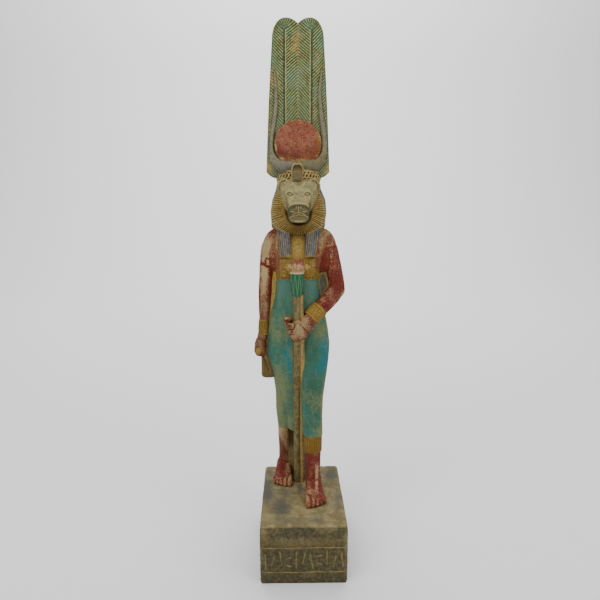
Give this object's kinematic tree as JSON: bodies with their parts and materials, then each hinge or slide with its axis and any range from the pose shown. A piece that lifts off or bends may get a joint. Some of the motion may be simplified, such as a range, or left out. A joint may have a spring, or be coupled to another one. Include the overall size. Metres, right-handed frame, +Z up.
{
  "type": "lioness headed goddess statue",
  "caption": "Painted stone statue of a striding lioness-headed goddess holding a papyrus staff, with tall plumes, sun disc and horns, on a plinth.",
  "frame": {"origin": "middle of the plinth's underside", "axes": "+Z up, the figure faces -Y, +X is the figure's own left and the viewer's right"},
  "size_m": [0.0863, 0.12, 0.4845],
  "materials": {
    "painted_stone": "carved dark stone under worn matt paint, with dust in the carving"
  },
  "bodies": {
    "root": {"statue": "painted_stone"}
  },
  "joints": []
}
